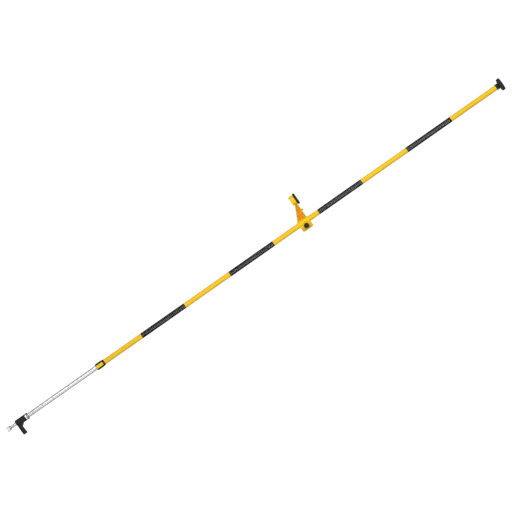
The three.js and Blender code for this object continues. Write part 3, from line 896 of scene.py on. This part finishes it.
def make_scale():
    digits = {character: glyph(character) for character in "0123456789"}
    for band in (1, 2, 3, 4):
        node = f"scale_band_{band}"
        low, top = span(node)
        r = radius(node)
        stands_for(ring(node + "_wrap", r - 0.3, r, low, top, 0.12, 0.05), node)
        shapes = []
        for centimetre in range(ceil(low / 10 + 0.4), floor(top / 10 - 0.4) + 1):
            z = centimetre * 10
            text = str(centimetre)
            for i, character in enumerate(text):
                across = NUMBER_SHIFT + (i - (len(text) - 1) / 2) * NUMBER_STEP
                shapes.append((digits[character], across, z))
            shapes.append((tick_strip(TICK_START, TICK_START + LONG_TICK, -0.45, 0.45), 0, z))
            shapes.append((tick_strip(TICK_START, TICK_START + SHORT_TICK, -0.3, 0.3), 0, z - 5))
        bm = bmesh.new()
        for (points, faces), across, z in shapes:
            verts = []
            for point in points:
                angle = (point.x + across) / r
                out = r + 0.01 + INK / 2 + point.z
                spot = Vector((out * sin(angle), -out * cos(angle), z + point.y))
                verts.append(bm.verts.new(spot * MM))
            for face in faces:
                bm.faces.new([verts[k] for k in face])
        bmesh.ops.recalc_face_normals(bm, faces=bm.faces)
        rides_with(object_from(bm, f"scale_print_{band}"), node, "scale_ink")


# ---- telescope lock ----
FLIP_PIN_HOLE = 1.3  # radius


def make_lock_collar():
    low, top = span("lock_collar")
    r = radius("lock_collar")
    mast_r, tube_r = radius("mast_lower"), radius("inner_tube")
    bore = mast_r + GAP
    lip = tube_r + 0.7
    lip_top = low + 3
    pivot = centre("flip_pin")
    pin_half = span("flip_pin", "x")[1]
    half = span("flip_lever", "x")[1]
    face = span("lock_collar", "y")[0]
    body = turned("lock_collar_moulding", [
        (lip, low, 0.5), (r - 0.9, low, 0.8), (r, low + 5, 0.8), (r, top - 4, 0.6), (r - 0.4, top, 0.8),
        (bore, top, 0.4), (bore, lip_top), (lip, lip_top),
    ], True)
    cheek_half = pin_half + 0.2
    cheeks = prism("cheeks", [
        (-cheek_half, -12), (-cheek_half, face, 1.6), (cheek_half, face, 1.6), (cheek_half, -12),
    ], low, top, "Z", edge=1.4)
    joined(body, cheeks)
    cut(
        body,
        bar("bore", bore, lip_top, top + 1, "Z", sides=FINE),
        bar("lip", lip, low - 1, lip_top + 1, "Z", sides=FINE),
        block("lever_room", (-half - 0.4, half + 0.4), (-25, -14.6), (low - 1, top + 1)),
        block("shoe_room", (-6, 6), (-17, -11), (span("brake_shoe")[0] - 2, top + 1)),
        bar("pin_hole", FLIP_PIN_HOLE, -20, 20, "X", at=(0, pivot.y, pivot.z)),
        *grip_cutters(0.9, r + 0.35, low + 6, top - 6, range(-24, 205, 12), 0.4),
    )
    stands_for(moulded(body, 0.42, 5, 0.45), "lock_collar")

    ring_low, ring_top = span("collar_end_ring")
    stands_for(ring("collar_end_ring_knurled", bore, radius("collar_end_ring"), ring_low, ring_top, 1.3,
                    sides=40 * 6, wave=flutes(40, 0.6, ring_low + 0.8, ring_top - 0.8)), "collar_end_ring")
    bush_low, bush_top = span("collar_bush")
    stands_for(ring("collar_bushing", tube_r + 0.35, radius("collar_bush"), bush_low, bush_top, 0.5),
               "collar_bush")


def make_flip_lever():
    pivot = centre("flip_pin")
    half = span("flip_lever", "x")[1]
    lever_low = span("flip_lever")[0]
    inner, outer = -15.9, -20.2
    y, z = pivot.y, pivot.z
    paddle = prism("flip_lever_moulding", [
        (inner, lever_low, 0.7), (outer - 1.0, lever_low, 1.0), (outer, lever_low + 6, 3),
        (outer + 0.6, z - 1, 1.2), (y, z + 1), (inner, z),
    ], -half, half, "X", edge=0.9)
    hub = bar("hub", 2.2, -half, half, "X", at=(0, y, z))
    cam = bar("cam", 2.2, -5, 5, "X", at=(0, y + 0.8, z))
    ridges = [bar("ridge", 0.55, 3 - half, half - 3, "X", sides=16, edge=0.3,
                  at=(0, outer + 0.25, lever_low + 8 + 2.6 * i)) for i in range(4)]
    joined(paddle, hub, cam, *ridges)
    panel = prism("panel", [
        (3 - half, lever_low + 19, 1.2), (half - 3, lever_low + 19, 1.2),
        (half - 3, z - 5, 1.2), (3 - half, z - 5, 1.2),
    ], outer - 2, outer + 0.75, "Y")
    cut(paddle, panel, bar("pin_hole", FLIP_PIN_HOLE, -20, 20, "X", at=(0, y, z)))
    stands_for(moulded(paddle, 0.34, 4, 0.45), "flip_lever")
    riveted_pin("flip_pin_riveted", "flip_pin", radius("flip_pin", "z"), span("flip_pin", "x")[1],
                0.4, 0.2, (0, y, z), "X")


def make_brake_shoe():
    shoe_low, shoe_high = span("brake_shoe")
    left, right = span("brake_shoe", "x")
    back = span("brake_shoe", "y")[0]
    pad = prism("brake_shoe_moulded", [
        (left, back, 0.8), (right, back, 0.8), (right, -8), (left, -8),
    ], shoe_low, shoe_high, "Z", edge=0.5)
    tube_space = bar("tube_space", radius("inner_tube") + 0.15, shoe_low - 1, shoe_high + 1, "Z", sides=FINE)
    cut(pad, tube_space)
    stands_for(moulded(pad, 0.25, 3, 0.5), "brake_shoe")


# ---- bracket ----
def arm_low(x):
    """Height of the arm's lower edge."""
    return ARM_LOW_ROOT + (ARM_LOW_TIP - ARM_LOW_ROOT) * (x - ARM_ROOT) / (ARM_TIP - ARM_ROOT)


def arm_strip(rise_low, high, thick, edge):
    """A bar along the arm, from above its lower edge to high(x)."""
    ends = [(0, arm_low(0) + rise_low), (0, high(0)), (ARM_TIP, high(ARM_TIP)),
            (ARM_TIP, arm_low(ARM_TIP) + rise_low)]
    return prism("strip", ends, -thick, thick, "Y", edge=edge)


def arm_pieces():
    """The arm's web, its two rims and its zigzag of ribs."""
    half, web, rib = 9.0, 2.6, 3.4  # half widths of the rims and web, width of a rib
    stations = [-20, -38, -55, -71, -85, -99]  # x of the ribs' ends
    ribs = []
    for i, x in enumerate(stations[1:]):
        foot, head = (stations[i], x) if i % 2 else (x, stations[i])
        ribs.append(prism("rib", [
            (foot - rib / 2, arm_low(foot) + 1), (foot + rib / 2, arm_low(foot) + 1),
            (head + rib / 2, ARM_TOP - 1), (head - rib / 2, ARM_TOP - 1),
        ], 1.6 - half, half - 1.6, "Y", edge=0.6))
    web_plate = arm_strip(1, lambda x: ARM_TOP - 1, web, 0)
    top_rim = prism("top_rim", [
        (0, ARM_TOP - ARM_RIM), (0, ARM_TOP), (ARM_TIP, ARM_TOP), (ARM_TIP, ARM_TOP - ARM_RIM),
    ], -half, half, "Y", edge=1.0)
    low_rim = arm_strip(0, lambda x: arm_low(x) + ARM_RIM, half, 1.0)
    return [web_plate, top_rim, low_rim, *ribs]


def make_bracket():
    liner_low, liner_top = span("clamp_liner")
    low, top = liner_low + 1.5, liner_top - 1.5
    bore = radius("clamp_liner") + 0.4
    knob = centre("clamp_knob")
    disc = centre("turntable")
    far_end, ear_end = span("bracket", "x")
    platform_r = 28.0
    platform_x = far_end + platform_r
    platform_low, platform_top, ledge = 2020.0, 2046.3, 2039.3
    body = ring("bracket_casting", bore, bore + 1.9, low, top, 0.8)
    ears = prism("ears", [
        (12, low + 1.5), (ear_end, low + 1.5, 8), (ear_end, top, 8), (12, top),
    ], -12, 12, "Y", edge=2.0)
    waist = prism("waist", [
        (ear_end - 2.4, knob.z - 4, 1.5), (ear_end + 4, knob.z - 12), (ear_end + 4, knob.z + 12),
        (ear_end - 2.4, knob.z + 4, 1.5),
    ], -14, 14, "Y")
    cut(ears, waist)
    boss = bar("boss", 16, -20, 14, "Y", at=(knob.x, 0, knob.z), sides=FINE, edge=1.2)
    platform = turned("platform", [
        (0, platform_low), (platform_r, platform_low, 2.0), (platform_r, platform_top, 2.0),
        (0, platform_top),
    ], at=(platform_x, 0, 0))
    vial_boss = bar("vial_boss", radius("vial") + 1, ARM_TOP - 4, ARM_TOP + 1, "Z",
                    at=(centre("vial").x, 0, 0), edge=0.5)
    joined(body, ears, boss, platform, vial_boss, *arm_pieces())
    cut(
        body,
        bar("bore", bore, low - 60, top + 60, "Z", sides=FINE),
        block("slit", (10, 60), (-1.2, 1.2), (low - 1, top + 1)),
        bar("stud_hole", 3.4, -40, 40, "Y", at=(knob.x, 0, knob.z)),
        bar("nut_pocket", 6.4, 10, 40, "Y", at=(knob.x, 0, knob.z), sides=6),
        bar("hollow", 22, platform_low - 1, ledge, "Z", at=(disc.x, 0, 0), sides=FINE),
        bar("pivot_hole", 8.4, 2000, 2100, "Z", at=(disc.x, 0, 0)),
    )
    stands_for(moulded(body, 0.58, 5, 0.42), "bracket")


def make_clamp_liner():
    liner_low, liner_top = span("clamp_liner")
    liner_r = radius("clamp_liner")
    liner = ring("clamp_liner_moulded", liner_r - 1.4, liner_r, liner_low, liner_top, 0.5)
    split = block("split", (10, 30), (-1.5, 1.5), (liner_low - 1, liner_top + 1))
    stands_for(cut(liner, split), "clamp_liner")


def make_vial():
    low, top = span("vial")
    r = radius("vial")
    stands_for(turned("vial_dome", [
        (0, low), (r, low, 0.3), (r, low + 2.2, 0.5), (r - 0.9, low + 2.5, 0.2), (r - 0.9, top - 0.8, 1.6),
        (r - 4.5, top - 0.02, 1.0), (0, top),
    ], sides=SMALL * 2, at=(centre("vial").x, 0, 0)), "vial")


def make_clamp_knob():
    knob = centre("clamp_knob")
    r = radius("clamp_knob")
    front, back = [-edge for edge in span("clamp_knob", "y")]
    stud_r = radius("clamp_stud")
    blind = GAP - span("clamp_stud", "y")[0]
    lobes = 16
    shape = turned("clamp_knob_moulded", [
        (0, blind), (stud_r + GAP, blind), (stud_r + GAP, back, 0.3), (7.5, back, 0.3),
        (7.8, back + 1.2, 0.3), (r - 1.6, back + 1.2, 0.4), (r, back + 2.8, 1.0), (r, front - 9),
        (r, front - 6), (r, front - 3.5, 1.5), (r - 2.8, front, 1.2), (r - 4.4, front, 0.4),
        (r - 5.0, front - 0.8, 0.3), (0, front - 0.5),
    ], at=(knob.x, 0, knob.z), along="Y", sides=lobes * 8, steps=7,
        wave=flutes(lobes, 0.75, back + 1.8, front - 1.0, 2.0, 1.8, r - 4))
    stands_for(shape, "clamp_knob", "knob_plastic")


def make_clamp_stud():
    knob = centre("clamp_knob")
    place = (knob.x, 0, knob.z)
    stud_r = radius("clamp_stud")
    stud_low, stud_high = span("clamp_stud", "y")
    pitch, thread_low, thread_top = 1.0, 0.7 - stud_high, 12.0
    stud = turned("clamp_stud_threaded", [
        (0, -stud_high), (stud_r - 0.7, -stud_high, 0.2),
        *threaded_levels(stud_r, thread_low, thread_top, pitch),
        (stud_r, -stud_low - 0.5, 0.2), (stud_r - 0.5, -stud_low, 0.2), (0, -stud_low),
    ], sides=32, at=place, along="Y", wave=thread(pitch, 0.55, thread_low, thread_top))
    stands_for(stud, "clamp_stud")
    nut_low, nut_high = span("clamp_nut", "y")
    nut = bar("clamp_nut_hexagon", 5.8, nut_low, nut_high, "Y", at=place, sides=6, edge=0.35)
    hole = bar("hole", stud_r + 0.2, nut_low - 1, nut_high + 1, "Y", at=place)
    stands_for(cut(nut, hole), "clamp_nut")


def make_turntable():
    x = centre("turntable").x
    r = radius("turntable")
    low, top = span("turntable")
    disc_low = top - 13.0
    boss, bore, step = 8.0, 3.6, 25.5
    at = (x, 0, 0)
    rings = face_grooves((24.0, 19.0, 14.0), top - 0.8, 0.35, 0.7, 0.4, 0.15)
    disc = turned("turntable_disc", [
        (bore, low, 0.3), (boss, low, 0.5), (boss, disc_low - 1.1, 0.4),
        (step, disc_low - 1.1, 0.4), (step, disc_low, 0.2), (r - 3, disc_low, 1.0), (r, disc_low + 2.4, 1.4),
        (r, disc_low + 4), (r, top - 4), (r, top - 1.4, 1.4), (r - 2.2, top, 1.2), (r - 6, top, 0.5),
        (r - 6.8, top - 0.8, 0.4), *rings, (bore + 0.5, top - 0.8, 0.2), (bore, top - 1.3, 0.2),
    ], True, at=at, sides=48 * 5, wave=flutes(48, 0.7, disc_low + 2.2, top - 1.4, 1.6, 1.5, r - 2))
    stands_for(disc, "turntable")
    clip_low, clip_top = span("turntable_clip")
    clip = ring("turntable_clip_ring", boss + 0.2, radius("turntable_clip"), clip_low, clip_top, 0.3,
                sides=SMALL, at=at)
    gap = block("gap", (x + 5, x + 20), (-2.5, 2.5), (clip_low - 1, clip_top + 1))
    stands_for(cut(clip, gap), "turntable_clip")


def make_platform_screw():
    low, tip = span("platform_screw")
    head = radius("platform_screw")
    shank, head_top, pitch = 3.175, low + 6.5, 1.27  # a quarter-inch screw, 20 turns to the inch
    thread_low = head_top + 8.0
    head_part = flutes(30, 0.6, low + 0.6, head_top - 0.6, 0.8)
    shank_part = thread(pitch, 0.55, thread_low, tip - 0.4)

    def wave(radial, z, angle):
        return head_part(radial, z, angle) if z < head_top else shank_part(radial, z, angle)

    screw = turned("platform_screw_knurled", [
        (0, low + 0.8), (5.6, low + 0.8, 0.3), (6.0, low, 0.3), (head, low, 0.6), (head, low + 1.6),
        (head, head_top - 1.6), (head, head_top, 0.7), (shank + 0.3, head_top, 0.1),
        (shank, head_top + 0.3, 0.1),
        *threaded_levels(shank, thread_low, tip - 0.5, pitch), (shank - 0.5, tip, 0.2), (0, tip),
    ], sides=120, at=(centre("turntable").x, 0, 0), wave=wave)
    stands_for(screw, "platform_screw")


# ---- top end ----
BALL_R, SOCKET_R = 7.0, 9.0
STEM_R = 4.0


def ball_height():
    """Height of the centre of the ceiling pad's ball joint."""
    return span("pad_ball")[0] + BALL_R


def make_neck():
    low, top = span("neck")
    r = radius("neck")
    mast_top = span("mast_upper")[1] + GAP
    spigot = radius("mast_upper") - 1.8
    centre_z = ball_height()
    rim_angle = asin((top - centre_z) / SOCKET_R)
    neck = turned("neck_moulding", [
        (0, low), (spigot, low, 0.8), *groove(spigot, 0.5, low + 8, low + 23, 0.6, 0.3), (spigot, mast_top),
        (r, mast_top, 0.8), *groove(r, 0.6, mast_top + 4.6, mast_top + 6.8, 0.6, 0.3, 0.3),
        (r, top - 2.0, 0.5), (r - 1.6, top, 0.5), *arc(SOCKET_R, centre_z, rim_angle, -1.4),
        (0, centre_z - SOCKET_R),
    ])
    stands_for(cut(neck, grub_hole(grub_height(3))), "neck")


def make_ball_joint():
    cup_inner, cup_outer = 7.5, 8.5
    centre_z = ball_height()
    cup_top = span("ball_cup")[1] - centre_z
    cup = arc(cup_outer, centre_z, -1.2, asin(cup_top / cup_outer))
    cup += arc(cup_inner, centre_z, asin(cup_top / cup_inner), -1.2)
    stands_for(turned("ball_cup_moulded", cup, True), "ball_cup")
    stem_top = span("pad_ball")[1]
    stands_for(turned("pad_ball_turned", [
        (0, centre_z - BALL_R), *arc(BALL_R, centre_z, -1.45, acos(STEM_R / BALL_R) - 0.02, 20),
        (STEM_R, centre_z + 5.95, 0.1), (STEM_R, stem_top - 0.5, 0.3), (STEM_R - 0.5, stem_top, 0.2),
        (0, stem_top),
    ], sides=SMALL * 2), "pad_ball")


def make_pad():
    stem_top = span("pad_ball")[1]
    low, top = span("pad_plate")
    plate_r = radius("pad_plate")
    stands_for(turned("pad_plate_moulding", [
        (STEM_R + GAP, low, 0.5), (9.0, low, 0.6), (10.0, low + 1.0, 0.5), (plate_r - 7, low + 1.0, 0.5),
        (plate_r - 6, low, 0.5), (plate_r - 3.0, low, 1.0), (plate_r, low + 2.0, 1.2), (plate_r, top, 0.4),
        (0, top), (0, stem_top + GAP), (STEM_R + GAP, stem_top + GAP),
    ]), "pad_plate")
    pad_low, face = span("ceiling_pad")
    pad_r = radius("ceiling_pad")
    stands_for(turned("ceiling_pad_moulding", [
        (0, top + GAP), (plate_r + GAP, top + GAP), (plate_r + GAP, pad_low, 0.4),
        (pad_r - 1.4, pad_low, 1.0), (pad_r, pad_low + 2.0, 1.2),
        *groove(pad_r, 0.7, face - 7.4, face - 5.4, 0.6, 0.4, 0.3), (pad_r, face - 2.6, 1.4),
        (pad_r - 2.6, face, 1.0), *face_grooves(range(30, 5, -5), face, 0.8, 0.9, 0.5, 0.2), (0, face),
    ]), "ceiling_pad")


MATERIALS = make_materials()
for make in (
    make_camera, make_studio, make_floor, make_foot, make_housing, make_release_lever, make_lock_plate,
    make_inner_tube, make_foot_spring, make_slide_bush, make_mast, make_couplers, make_grub_screws,
    make_scale, make_lock_collar, make_flip_lever, make_brake_shoe, make_bracket, make_clamp_liner,
    make_vial, make_clamp_knob, make_clamp_stud, make_turntable, make_platform_screw, make_neck,
    make_ball_joint, make_pad,
):
    make()

bpy.context.scene.view_settings.view_transform = "Standard"
